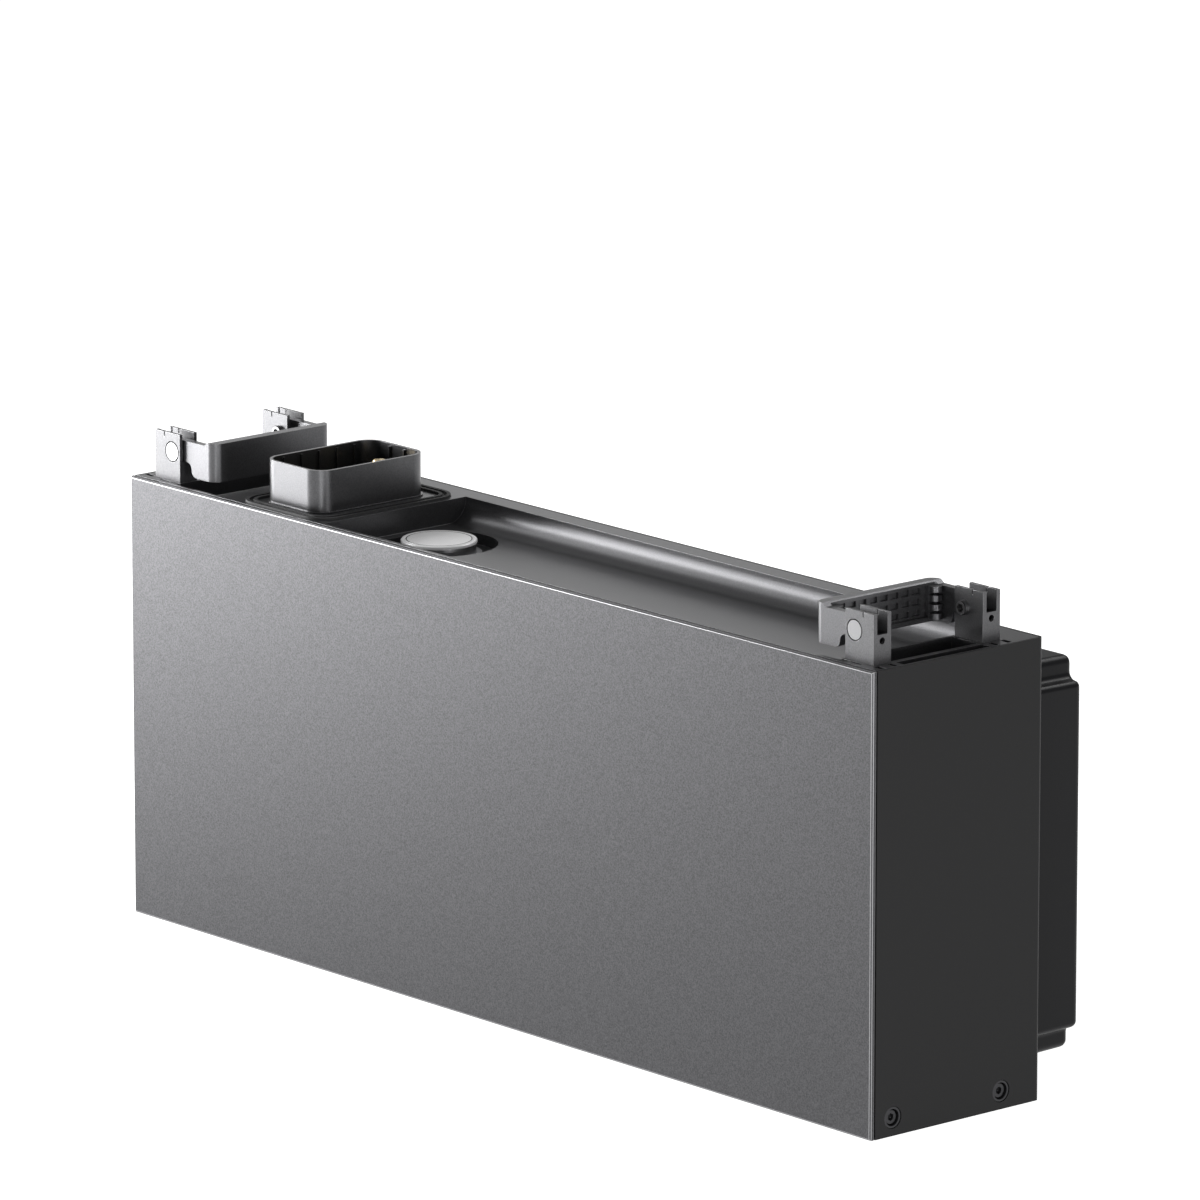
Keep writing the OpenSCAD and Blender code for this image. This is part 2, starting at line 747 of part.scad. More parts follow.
// Pin of the right front post: a flush head outside, a threaded end with a hex socket inside
module hinge_pin() {
    y0 = hinge_y - post_y - post_w / 2;
    tail = 2.8;
    difference() {
        union() {
            rod_y(pin_x, y0, y0 + post_t, pin_height, pin_head_d);
            rod_y(pin_x, y0, y0 + post_w + tail, pin_height, pin_d);
        }
        translate([pin_x, y0 + post_w + tail + over, pin_height]) rotate([90, 0, 0])
            cylinder(h = 3 + over, d = 4.6, $fn = 6);
    }
}

module hinge_pins() {
    color("#d8d8da") both_sides() {
        hinge_pin();
        rear_side() hinge_pin();
    }
}

// Steel bracket inside the case that carries two posts: a shelf and a leg down the side sheet
module side_bracket() {
    leg = 60;
    y0 = hinge_y - post_y - post_w / 2 - 4;
    y1 = hinge_y + post_y + post_w / 2 + 4;
    side = half_w - sheet_t;
    difference() {
        union() {
            block([post_inner - 6, y0, shelf_z - bracket_t], [side, y1, shelf_z]);
            block([side - bracket_t, y0, shelf_z - leg], [side, y1, shelf_z]);
            for (y = [y0, y1 - bracket_t])
                along_y(y, y + bracket_t) polygon([[post_inner, shelf_z - bracket_t],
                    [side, shelf_z - bracket_t], [side, shelf_z - leg + 10]]);
        }
        for (x = post_screw_x, end = [-1, 1])
            rod_z(x, hinge_y + end * post_y, shelf_z - bracket_t - over, shelf_z + over, post_screw_d);
    }
}

module left_bracket() { color("#8d8e90") mirror([1, 0, 0]) side_bracket(); }
module right_bracket() { color("#8d8e90") side_bracket(); }

module post_screws() {
    head_t = 3;
    tail = 4;
    color("#9a9a9c") both_sides() for (x = post_screw_x, end = [-1, 1]) difference() {
        y = hinge_y + end * post_y;
        union() {
            rod_z(x, y, shelf_z - bracket_t - tail, shelf_z + post_t, post_screw_d);
            rod_z(x, y, shelf_z + post_t, shelf_z + post_t + head_t, post_screw_head);
        }
        translate([x, y, shelf_z + post_t + head_t - 1.8])
            cylinder(h = 1.8 + over, d = 3.5, $fn = 6);
    }
}

// Collar round the connector, with a foot bead on the deck and a flange under it
module connector_collar() {
    rib_t = 1.2;
    rib_h = 1.6;
    rib_pitch = 14;
    z0 = collar_flange_top - collar_flange_t;
    z1 = case_h + collar_h;
    in_x = collar_w / 2 - collar_t;
    in_y = collar_l / 2 - collar_t;
    color("#8b8c91") {
        difference() {
            union() {
                translate([0, 0, z0]) linear_extrude(z1 - z0) collar_plan(0);
                translate([0, 0, z0]) linear_extrude(collar_flange_t) collar_plan(collar_flange);
                translate([0, 0, case_h]) linear_extrude(0.9) collar_plan(1.2);
            }
            translate([0, 0, z0 - over]) linear_extrude(z1 - z0 + 2 * over) collar_plan(-collar_t);
        }
        for (i = [-2 : 2], side = [-1, 1])
            translate([collar_x + side * (in_x - rib_h / 2 + 0.2), collar_y + i * rib_pitch, case_h + 2])
                translate([-rib_h / 2, -rib_t / 2, 0]) cube([rib_h, rib_t, collar_h - 3.5]);
        for (i = [-1, 1], side = [-1, 1])
            translate([collar_x + i * rib_pitch / 2, collar_y + side * (in_y - rib_h / 2 + 0.2), case_h + 2])
                translate([-rib_t / 2, -rib_h / 2, 0]) cube([rib_t, rib_h, collar_h - 3.5]);
    }
}

module connector_gasket() {
    lip = 1.4;
    lip_w = 2.4;
    lip_inset = 0.4;
    color("#141414") {
        translate([0, 0, case_h - gasket_depth]) linear_extrude(gasket_depth) gasket_band(0, gasket_w);
        for (start = [lip_inset, gasket_w - lip_w - lip_inset])
            translate([0, 0, case_h]) linear_extrude(lip) gasket_band(start, start + lip_w);
    }
}

// Contacts of the connector, as places along the collar's length
power_places = [-27, 27];
power_pin_d = 10;
shank_d = 9;
signal_d = 2;
signal_places = [for (x = [-6, 0, 6], y = [-6, 0, 6]) [x, y]];
block_top = case_h + 2;
block_low = case_h - 22;
pin_reach = 16;
pin_tail = 6;
contact_tail = 6;

module terminal_block() {
    shoulder = 3;
    color("#1b1b1d") difference() {
        union() {
            translate([0, 0, block_low]) linear_extrude(block_top - block_low) collar_plan(-collar_t);
            translate([0, 0, collar_flange_top - collar_flange_t - shoulder])
                linear_extrude(shoulder) collar_plan(collar_flange);
        }
        for (y = power_places)
            rod_z(collar_x, collar_y + y, block_low - over, block_top + over, shank_d);
        for (p = signal_places)
            rod_z(collar_x + p.x, collar_y + p.y, block_low - over, block_top + over, signal_d);
    }
}

module power_pins() {
    color("#c9a85c") for (y = power_places) {
        rod_z(collar_x, collar_y + y, block_low - pin_tail, block_top, shank_d);
        rod_z(collar_x, collar_y + y, block_top, block_top + pin_reach, power_pin_d);
        translate([collar_x, collar_y + y, block_top + pin_reach])
            cylinder(h = 2, d1 = power_pin_d, d2 = power_pin_d - 3);
    }
}

module signal_pins() {
    color("#d6b56a") for (p = signal_places)
        rod_z(collar_x + p.x, collar_y + p.y, block_low - 4, block_top + 10, signal_d);
}

// Port block under the module: it hangs in the middle of the port pocket and enters the collar
module socket_plan(grow) {
    collar_plan(grow - collar_t - 2.2);
}

socket_low = stack_gap + 1;
socket_top = pocket_h + wall_t + 6;

module bottom_socket() {
    color("#1b1b1d") difference() {
        union() {
            translate([0, 0, socket_low]) linear_extrude(socket_top - socket_low) socket_plan(0);
            translate([0, 0, pocket_h + wall_t]) linear_extrude(3) socket_plan(5);
        }
        for (y = power_places) {
            rod_z(collar_x, collar_y + y, socket_low - over, pocket_h, power_pin_d + 2);
            rod_z(collar_x, collar_y + y, pocket_h - over, socket_top + over, shank_d);
        }
        for (p = signal_places)
            rod_z(collar_x + p.x, collar_y + p.y, socket_low - over, pocket_h, signal_d + 1);
    }
}

// Spring sleeves of the port, that grip the power pins of the module below
module socket_contacts() {
    color("#c9a85c") for (y = power_places) difference() {
        union() {
            rod_z(collar_x, collar_y + y, socket_low + 2, pocket_h, power_pin_d + 2);
            rod_z(collar_x, collar_y + y, pocket_h, socket_top + contact_tail, shank_d);
        }
        rod_z(collar_x, collar_y + y, socket_low, pocket_h - 2, power_pin_d + 2 * running_gap);
    }
}

module through_bars() {
    color("#b87333") for (y = power_places)
        block([collar_x - bar_t / 2, collar_y + y - bar_w / 2, socket_top + contact_tail],
            [collar_x + bar_t / 2, collar_y + y + bar_w / 2, block_low - pin_tail]);
}

// Relief vent: a body clamped through the floor of its pocket, and a brushed cap on top
vent_neck_r = 12;
vent_cap_z = tray_floor + 3;
vent_cap_t = 2;
vent_seal_r = vent_r - 2;
vent_seal_w = 2.4;
vent_seal_t = 0.9;

module vent_body() {
    color("#8e8f93") difference() {
        union() {
            translate([vent_x, vent_y, vent_floor]) cylinder(h = 1.8, r = vent_r + 3);
            translate([vent_x, vent_y, vent_floor])
                cylinder(h = vent_cap_z - vent_cap_t - vent_floor, r = vent_r - 0.6);
            translate([vent_x, vent_y, vent_floor - wall_t - 0.2])
                cylinder(h = wall_t + over, r = vent_neck_r);
        }
        translate([vent_x, vent_y, vent_floor - wall_t - over])
            cylinder(h = case_h, r = vent_neck_r - 4);
        rotate_at_vent() translate([vent_seal_r, vent_floor - over])
            square([vent_seal_w, vent_seal_t + over]);
    }
}

module rotate_at_vent() {
    translate([vent_x, vent_y, 0]) rotate_extrude($fn = 96) children();
}

module vent_cap() {
    edge = 0.5;
    groove = 0.35;
    color("#e6e6e8") rotate_at_vent() difference() {
        polygon([[0, vent_cap_z - vent_cap_t], [vent_r, vent_cap_z - vent_cap_t],
            [vent_r, vent_cap_z - edge], [vent_r - edge, vent_cap_z], [0, vent_cap_z]]);
        translate([vent_r - 2.6, vent_cap_z - groove]) square([0.7, 1]);
    }
}

module vent_seal() {
    color("#101010") rotate_at_vent()
        translate([vent_seal_r, vent_floor]) square([vent_seal_w, vent_seal_t]);
}

// Turned bush that takes a lock screw through the side of the case
module lock_bushes() {
    counterbore_d = 10;
    counterbore = 6;
    outer = half_w - 0.4;
    color("#5c5d60") both_sides() for (y = lock_y) difference() {
        rod_x(pocket_out, outer, y, lock_z, bush_d);
        rod_x(outer - counterbore, outer + over, y, lock_z, counterbore_d);
        rod_x(pocket_out - over, outer, y, lock_z, lock_screw_d);
    }
}

lock_screw_d = 5;

module lock_screws() {
    seat = half_w - 0.4 - 6;
    head_t = 4.6;
    color("#2a2a2c") both_sides() for (y = lock_y) difference() {
        union() {
            rod_x(pocket_out, seat, y, lock_z, lock_screw_d);
            rod_x(seat, seat + head_t, y, lock_z, 8.5);
        }
        translate([seat + head_t - 2.6, y, lock_z]) rotate([0, 90, 0])
            cylinder(h = 2.6 + over, d = 4.6, $fn = 6);
    }
}

// Row of cells, each a can with two terminals on top
module cell_row(z) {
    for (i = [0 : cells_per_row - 1]) translate([pack_x + i * cell_pitch, cell_front, z]) {
        translate([0, cell_l, 0]) rotate([90, 0, 0]) linear_extrude(cell_l)
            round_plan([0, 0], [cell_t, cell_h - terminal_h], 3);
        for (side = [-1, 1])
            translate([cell_t / 2 - 9, cell_l / 2 + side * terminal_y - 7, cell_h - terminal_h])
                cube([18, 14, terminal_h]);
        translate([cell_t / 2, cell_l / 2, cell_h - terminal_h]) cylinder(h = 0.6, r = 7);
    }
}

module lower_cells() { color("#3565a8") cell_row(row_z[0]); }
module upper_cells() { color("#3565a8") cell_row(row_z[1]); }

module cell_spacers() {
    color("#d9d4c4") for (z = row_z, i = [1 : cells_per_row - 1])
        translate([pack_x + i * cell_pitch - spacer_t, cell_front + 3, z + 4])
            cube([spacer_t, cell_l - 6, cell_h - terminal_h - 8]);
}

// Ribbed plate that presses on one end of the pack
module end_plate(x, out) {
    rib_count = 5;
    skin = 3;
    z0 = row_z[0];
    z1 = row_z[1] + cell_h - terminal_h;
    rib_pitch = (cell_l - 12) / (rib_count - 1);
    color("#a9aaac") difference() {
        union() {
            translate([out > 0 ? x : x - skin, cell_front + 2, z0]) cube([skin, cell_l - 4, z1 - z0]);
            for (i = [0 : rib_count - 1])
                translate([out > 0 ? x + skin : x - end_plate_t, cell_front + 4 + i * rib_pitch, z0])
                    cube([end_plate_t - skin, 4, z1 - z0]);
        }
        block([x - end_plate_t - over, cell_mid + terminal_y - 8, row_z[0] + cell_h - 1],
            [x + end_plate_t + over, cell_mid + terminal_y + 8, row_z[0] + cell_h + busbar_t + 1]);
    }
}

module left_end_plate() { end_plate(pack_x, -1); }
module right_end_plate() { end_plate(pack_x + pack_w, 1); }

strap_t = 0.8;
strap_w = 16;
strap_places = [cell_mid - 45, cell_mid + 7];

module pack_straps() {
    x0 = pack_x - end_plate_t;
    x1 = pack_x + pack_w + end_plate_t;
    z0 = row_z[0];
    z1 = row_z[1] + cell_h - terminal_h;
    color("#b4b5b7") for (y = strap_places) difference() {
        block([x0 - strap_t, y, z0 - strap_t], [x1 + strap_t, y + strap_w, z1 + strap_t]);
        block([x0, y - over, z0], [x1, y + strap_w + over, z1]);
    }
}

// Rectangular tubes that carry the pack on the base, one under each strap
module support_rails() {
    rail_w = 22;
    rail_t = 2;
    top = row_z[0] - strap_t;
    x0 = pack_x - end_plate_t;
    x1 = pack_x + pack_w + end_plate_t;
    color("#a9aaac") for (strap = strap_places) difference() {
        y = strap + (strap_w - rail_w) / 2;
        block([x0, y, deck_t], [x1, y + rail_w, top]);
        block([x0 - over, y + rail_t, deck_t + rail_t], [x1 + over, y + rail_w - rail_t, top - rail_t]);
    }
}

module row_divider() {
    z = row_z[0] + cell_h + busbar_t;
    color("#ded9c8") block([pack_x, cell_front + 4, z], [pack_x + pack_w, cell_rear - 4, row_z[1]]);
}

// Thin sheet over the upper links
module cell_cover() {
    t = 0.8;
    z = row_z[1] + cell_h + busbar_t;
    reach = terminal_y + busbar_w / 2 + 1;
    color("#ded9c8") block([pack_x, cell_mid - reach, z], [pack_x + pack_w, cell_mid + reach, z + t]);
}

module thermal_pad() {
    color("#8fa3b5") block([pack_x, cell_rear, row_z[0] + 3],
        [pack_x + pack_w, y_rear - cover_t, row_z[1] + cell_h - terminal_h - 3]);
}

// Links from cell to cell, turn about at the front and the back, and a tab for the cable
module busbar_row(z) {
    reach = 8;
    tab = 12;
    rear = cell_mid + terminal_y - busbar_w / 2;
    block([pack_x - end_plate_t - tab, rear, z + cell_h],
        [pack_x + cell_t / 2 + reach, rear + busbar_w, z + cell_h + busbar_t]);
    for (i = [0 : cells_per_row - 2])
        translate([pack_x + i * cell_pitch + cell_t / 2 - reach,
            cell_mid + (i % 2 == 0 ? -1 : 1) * terminal_y - busbar_w / 2, z + cell_h])
            cube([cell_pitch + 2 * reach, busbar_w, busbar_t]);
}

module lower_busbars() { color("#b87333") busbar_row(row_z[0]); }
module upper_busbars() { color("#b87333") busbar_row(row_z[1]); }

// Strip that joins the last cells of the two rows past the right end plate
link_x = pack_x + pack_w + end_plate_t + 2;

module row_link() {
    x0 = pack_x + pack_w - cell_t / 2 - 8;
    y = cell_mid + terminal_y - busbar_w / 2;
    low = row_z[0] + cell_h;
    high = row_z[1] + cell_h;
    color("#b87333") {
        for (z = [low, high]) block([x0, y, z], [link_x + busbar_t, y + busbar_w, z + busbar_t]);
        block([link_x, y, low], [link_x + busbar_t, y + busbar_w, high + busbar_t]);
    }
}

// Electronics bay at the left of the pack: a steel plate carries the boards and the switchgear
bay_right = pack_x - end_plate_t - 16;
bay_left = -half_w + sheet_t;
plate_y = y_front + 107.5;
plate_t = 2;
plate_low = pocket_h + wall_t;
plate_high = shelf_z - 68;
pcb_t = 1.6;
standoff_d = 6;
bms_y = plate_y - 6 - pcb_t;
bms_low = [bay_left + 8, 62];
bms_high = [bay_left + 62, plate_high - 10];
plug_d = 8;
board_y = plate_y + 40;
board_low = [bay_left + 34, 40];
board_high = [bay_right - 4, shelf_z - 24];
board_mid = (board_low.y + board_high.y) / 2;
device_y = board_y + pcb_t + 5;
sink_t = 8;
sink_back = y_rear - cover_t;

module electronics_plate() {
    foot = 16;
    color("#a7a8aa") {
        block([bay_left + 2, plate_y, plate_low], [bay_right, plate_y + plate_t, plate_high]);
        block([bay_left + 2, plate_y, plate_low], [bay_right, plate_y + foot, plate_low + plate_t]);
        block([bay_left, plate_y, plate_low], [bay_left + plate_t, plate_y + foot, plate_high]);
        for (x = [bms_low.x + 5, bms_high.x - 5], z = [bms_low.y + 5, bms_high.y - 5])
            rod_y(x, bms_y + pcb_t, plate_y, z, standoff_d);
        for (x = [board_low.x + 5, board_high.x - 5], z = [board_low.y + 5, plate_high - 8])
            rod_y(x, plate_y + plate_t, board_y, z, standoff_d);
    }
}

module bms_board() {
    chip = 12;
    color("#1e5b3a") block([bms_low.x, bms_y, bms_low.y], [bms_high.x, bms_y + pcb_t, bms_high.y]);
    color("#1a1a1c") for (i = [0 : 2])
        translate([bms_low.x + 8, bms_y - 2, bms_low.y + 14 + i * 36]) cube([chip, 2, chip]);
    color("#e8e4d8") for (i = [0 : 3])
        translate([bms_high.x - 16, bms_y - plug_d, bms_low.y + 12 + i * 26]) cube([9, plug_d, 18]);
}

module converter_board() {
    color("#1e5b3a") block([board_low.x, board_y, board_low.y],
        [board_high.x, board_y + pcb_t, board_high.y]);
}

device_x = [for (i = [0 : 2]) board_low.x + 22 + i * 38];
device_z = [board_mid - 48, board_mid + 28];

module power_transistors() {
    color("#1a1a1c") for (x = device_x, z = device_z)
        block([x - 8, board_y + pcb_t, z - 10], [x + 8, device_y, z + 10]);
}

// Heat sink against the inside of the rear cover, with a raised seat for each row of devices
module heat_sink() {
    color("#b9babc") {
        block([board_low.x + 4, sink_back - sink_t, board_low.y + 20],
            [board_high.x - 4, sink_back, board_high.y - 20]);
        for (z = device_z)
            block([device_x[0] - 12, device_y, z - 14], [device_x[2] + 12, sink_back - sink_t, z + 14]);
    }
}

module capacitors() {
    can_d = 22;
    can_l = 34;
    color("#2c2f3a") for (i = [0 : 3])
        rod_y(board_low.x + 22 + i * 27, board_y - can_l, board_y, board_low.y + 28, can_d);
}

module inductors() {
    core_r = 25;
    hole_r = 11;
    core_t = 24;
    color("#c07b35") for (z = [board_mid - 18, board_mid + 36])
        translate([(board_low.x + board_high.x) / 2 + 8, board_y, z]) rotate([90, 0, 0])
            difference() {
                cylinder(h = core_t, r = core_r);
                translate([0, 0, -over]) cylinder(h = core_t + 2 * over, r = hole_r);
            }
}

// Switchgear on the front of the plate: the contactor and above it the fuse
switch_x = collar_x - 38.9;
switch_d = 42;
fuse_high = plate_high - 22;
fuse_low = fuse_high - 40;
switch_high = fuse_low - 20;
switch_low = switch_high - 52;
stud_h = 6;
contact_step = 12;
contact_y = plate_y - switch_d / 2;
fuse_y = plate_y - 14;
blade_w = 14;
blade_h = 10;
blade_t = 3;
bar_t = 4;
bar_w = 16;

module contactor() {
    foot_t = 5;
    color("#26272a") {
        block([switch_x - 22, plate_y - switch_d, switch_low], [switch_x + 22, plate_y, switch_high]);
        block([switch_x - 28, plate_y - foot_t, switch_low + 4],
            [switch_x + 28, plate_y, switch_high - 4]);
    }
    color("#b87333") for (side = [-1, 1])
        rod_z(switch_x + side * contact_step, contact_y, switch_high, switch_high + stud_h, 10);
}

// Copper strap from the contactor's left stud to the front through bar
module contactor_link() {
    t = 2;
    half = 5;
    z = switch_high + stud_h;
    x = switch_x - contact_step;
    y = collar_y + power_places[0];
    color("#b87333") {
        block([x - half, y - half, z], [x + half, contact_y + half, z + t]);
        block([x - half, y - half, z], [collar_x - bar_t / 2, y + half, z + t]);
    }
}

module fuse() {
    clip_h = 6;
    color("#e5e1d6") rod_z(switch_x, fuse_y, fuse_low, fuse_high, 20);
    color("#b87333") for (z = [fuse_low - blade_h, fuse_high])
        block([switch_x - blade_w / 2, fuse_y - blade_t / 2, z],
            [switch_x + blade_w / 2, fuse_y + blade_t / 2, z + blade_h]);
    color("#26272a") for (z = [fuse_low - blade_h, fuse_high + blade_h - clip_h])
        block([switch_x - 8, fuse_y + blade_t / 2, z], [switch_x + 8, plate_y, z + clip_h]);
}

// Copper strap from the fuse's lower blade to the rear through bar
module fuse_link() {
    color("#b87333") block([switch_x + blade_w / 2, fuse_y - blade_t / 2, fuse_low - blade_h],
        [collar_x - bar_t / 2, fuse_y + blade_t / 2, fuse_low]);
}

// Corner-cutting: each round halves the sharpness of a route's bends
function softened(route, rounds) = rounds == 0 ? route : softened(concat([route[0]],
    [for (i = [0 : len(route) - 2], t = [0.25, 0.75]) route[i] * (1 - t) + route[i + 1] * t],
    [route[len(route) - 1]]), rounds - 1);

function unit(v) = v / norm(v);

function heading(route, i) = unit(route[min(i + 1, len(route) - 1)] - route[max(i - 1, 0)]);

// Sideways direction at each point, carried along so that the tube doesn't twist
function sideways(route, i) = i == 0
    ? unit(cross(heading(route, 0), abs(heading(route, 0).z) < 0.9 ? [0, 0, 1] : [1, 0, 0]))
    : let (h = heading(route, i), s = sideways(route, i - 1)) unit(s - h * (h * s));

// Round wire along a route
module wire(route, d) {
    path = softened(route, 2);
    sides = 10;
    last = len(path) - 1;
    rings = [for (i = [0 : last]) let (s = sideways(path, i), t = cross(heading(path, i), s))
        [for (k = [0 : sides - 1]) let (a = 360 * k / sides)
            path[i] + d / 2 * (s * cos(a) + t * sin(a))]];
    polyhedron(
        points = [for (ring = rings, p = ring) p],
        faces = concat(
            [[for (k = [0 : sides - 1]) k]],
            [for (i = [0 : last - 1], k = [0 : sides - 1])
                [i * sides + k, (i + 1) * sides + k, (i + 1) * sides + (k + 1) % sides]],
            [for (i = [0 : last - 1], k = [0 : sides - 1])
                [i * sides + k, (i + 1) * sides + (k + 1) % sides, i * sides + (k + 1) % sides]],
            [[for (k = [sides - 1 : -1 : 0]) last * sides + k]]));
}

cable_d = 8;
cable_x = bay_right + 7.5;
cable_end_y = cell_mid + terminal_y + 3;

module positive_cable() {
    z = row_z[1] + cell_h - cable_d / 2;
    stud_top = switch_high + stud_h;
    color("#b3261e") wire([[cable_x, cable_end_y, z], [cable_x, cell_mid + 40, z],
        [cable_x, -28, z - 8], [cable_x - 12, -42, z - 26],
        [switch_x + 14, -42, stud_top + 36], [switch_x + contact_step, contact_y, stud_top + 14],
        [switch_x + contact_step, contact_y, stud_top]], cable_d);
}

module negative_cable() {
    z = row_z[0] + cell_h - cable_d / 2;
    blade_top = fuse_high + blade_h;
    color("#17181a") wire([[cable_x, cable_end_y, z], [cable_x, -22, z], [cable_x - 8, -28, z + 8],
        [switch_x + 14, -28, blade_top - 12], [switch_x, -14, blade_top + 18],
        [switch_x, fuse_y, blade_top + 14], [switch_x, fuse_y, blade_top]], cable_d);
}

// Sense wires from the monitoring board along the front of the lower cells
module signal_harness() {
    d = 5;
    x = bms_high.x - 11.5;
    y = cell_front - d / 2 - side_gap;
    z = row_z[0] + cell_h - 12;
    color("#2f3033") wire([[x, bms_y - plug_d, 161], [x, bms_y - 24, 161], [x + 22, y, 150],
        [cable_x - 14, y, z], [pack_x, y, z], [pack_x + pack_w - 20, y, z]], d);
}

front_panel();
front_seal();
panel_studs();
case_body();
top_deck();
base_tray();
base_pockets();
rear_cover();
rear_cover_gasket();
rear_cover_screws();
left_front_post();
left_rear_post();
right_front_post();
right_rear_post();
left_handle();
right_handle();
hinge_pins();
left_bracket();
right_bracket();
post_screws();
connector_collar();
connector_gasket();
terminal_block();
power_pins();
signal_pins();
vent_body();
vent_cap();
vent_seal();
bottom_socket();
socket_contacts();
through_bars();
lock_screws();
lock_bushes();
lower_cells();
upper_cells();
cell_spacers();
left_end_plate();
right_end_plate();
pack_straps();
support_rails();
row_divider();
cell_cover();
thermal_pad();
lower_busbars();
upper_busbars();
row_link();
electronics_plate();
bms_board();
converter_board();
power_transistors();
heat_sink();
capacitors();
inductors();
contactor();
contactor_link();
fuse();
fuse_link();
positive_cable();
negative_cable();
signal_harness();
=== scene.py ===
"""Studio picture of a slim, stackable home battery module.

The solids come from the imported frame. Their visible edges are rounded here, and every surface
gets its finish: blasted aluminium, powder coat, grained plastic, rubber and turned metal.
"""
import json
import math

import bmesh
import bpy
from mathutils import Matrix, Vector


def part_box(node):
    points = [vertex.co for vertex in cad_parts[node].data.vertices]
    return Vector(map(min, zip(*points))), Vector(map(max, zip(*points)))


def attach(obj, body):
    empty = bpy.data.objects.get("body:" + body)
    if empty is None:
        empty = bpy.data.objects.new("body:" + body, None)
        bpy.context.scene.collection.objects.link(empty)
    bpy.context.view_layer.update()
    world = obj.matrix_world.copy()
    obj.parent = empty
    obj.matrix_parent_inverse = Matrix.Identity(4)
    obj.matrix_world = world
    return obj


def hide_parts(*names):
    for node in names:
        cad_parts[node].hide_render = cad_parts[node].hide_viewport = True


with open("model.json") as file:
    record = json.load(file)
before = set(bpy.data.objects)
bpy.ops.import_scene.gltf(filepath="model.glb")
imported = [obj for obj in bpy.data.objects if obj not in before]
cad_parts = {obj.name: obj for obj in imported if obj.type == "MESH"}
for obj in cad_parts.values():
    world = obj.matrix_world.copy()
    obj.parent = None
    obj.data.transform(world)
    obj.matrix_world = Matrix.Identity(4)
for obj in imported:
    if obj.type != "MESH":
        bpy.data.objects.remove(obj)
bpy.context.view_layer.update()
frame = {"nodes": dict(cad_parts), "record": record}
nodes = frame["nodes"]
record = frame["record"]
slot_of = {part["node"]: part["material_slot"] for part in record["subparts"]}
body_of = {name: body for body, names in record["behaviour"]["bodies"].items() for name in names}

MM = 0.001

# Camera: a long lens, above and to the right of the front
CAMERA_PLACE = Vector((4.72304, -4.10410, 1.72497))
CAMERA_TURN = math.radians(49.028)
CAMERA_DOWN = math.radians(13.297)
LENS = 321.3
SENSOR = 36.0
NEAR = 0.1
FAR = 100.0

# Room and floor: strength of the room's light, the floor's glow, grey tone and half width
ROOM_LIGHT = 0.32
FLOOR_GLOW = 0.92
FLOOR_TONE = 0.45
FLOOR_REACH = 30.0

# Lamps: place, target, width and height in metres, and power in watts
LAMPS = {
    # Broad, on the left, and mirrored along the front panel
    "key": ((-1.36, -0.60, 0.50), (-0.30, 0.0, 0.45), 1.1, 0.94, 49.0),
    # Small, for the streak along the cove and the panel's top edge
    "upper": ((-0.92, -0.26, 1.00), (-0.05, 0.0, 0.28), 0.36, 0.26, 1.1),
    # Low, behind the left end, and mirrored in the tray's floor and the vent cap
    "rear_left": ((-1.35, 1.05, 0.66), (-0.25, 0.0, 0.28), 0.7, 0.4, 0.9),
    # Small, on the right, for the collar's round corner
    "corner": ((1.60, -0.24, 0.33), (0.0, -0.03, 0.29), 0.14, 0.16, 6.0),
    # For the upright edge between the front panel and the right side
    "edge": ((1.15, -1.30, 0.25), (0.0, 0.0, 0.18), 0.3, 0.5, 5.0),
    # High, behind, for the rear cover and the back edges
    "back": ((0.45, 1.45, 1.75), (0.1, 0.1, 0.2), 1.4, 0.35, 12.0),
}

# Grain of a finish: the part of its noise that turns from the low tone to the high one, and
# how far its roughness swings
GRAIN_SPAN = (0.32, 0.68)
GRAIN_SWING = 0.05

# Brushed rings: the same, the tone of the dark rings, and their relief in millimetres
RING_SPAN = (0.3, 0.7)
RING_SWING = 0.08
RING_SHADE = 0.86
RING_RELIEF = 0.02

# Groove in the vent cap: its radius as a share of the cap's width, half its width in
# millimetres, and its colour
GROOVE_PLACE = 0.43
GROOVE_HALF = 0.35
GROOVE_COLOR = (0.05, 0.05, 0.05, 1.0)

# Rounded copies: points closer than this merge, in millimetres, flatter edges are dissolved,
# and sharper ones are rounded
MERGE = 0.002
FLAT = math.radians(0.4)
SHARP = math.radians(28)

# Edge rounding of the outer pieces, in millimetres
EDGES = {
    "front_panel": 0.22,
    "case_body": 0.5,
    "top_deck": 0.5,
    "left_front_post": 0.45,
    "left_rear_post": 0.45,
    "right_front_post": 0.45,
    "right_rear_post": 0.45,
    "left_handle": 0.5,
    "right_handle": 0.5,
    "hinge_pins": 0.4,
    "connector_collar": 0.4,
    "connector_gasket": 0.5,
    "terminal_block": 0.5,
    "vent_body": 0.3,
    "vent_cap": 0.25,
    "base_tray": 0.5,
    "base_pockets": 0.4,
    "rear_cover": 0.6,
    "lock_bushes": 0.35,
    "lock_screws": 0.3,
    "rear_cover_screws": 0.35,
}
# Pieces whose rounded edges carry a painted highlight, a brighter metal than their faces
HIGHLIGHT_EDGE_PIECES = ("left_front_post", "left_rear_post", "right_front_post", "right_rear_post",
                 "left_handle", "right_handle", "connector_collar")


def add_camera():
    data = bpy.data.cameras.new("camera")
    data.lens = LENS
    data.sensor_width = SENSOR
    data.clip_start = NEAR
    data.clip_end = FAR
    camera = bpy.data.objects.new("camera", data)
    camera.location = CAMERA_PLACE
    camera.rotation_euler = (math.pi / 2 - CAMERA_DOWN, 0.0, CAMERA_TURN)
    bpy.context.scene.collection.objects.link(camera)
    bpy.context.scene.camera = camera


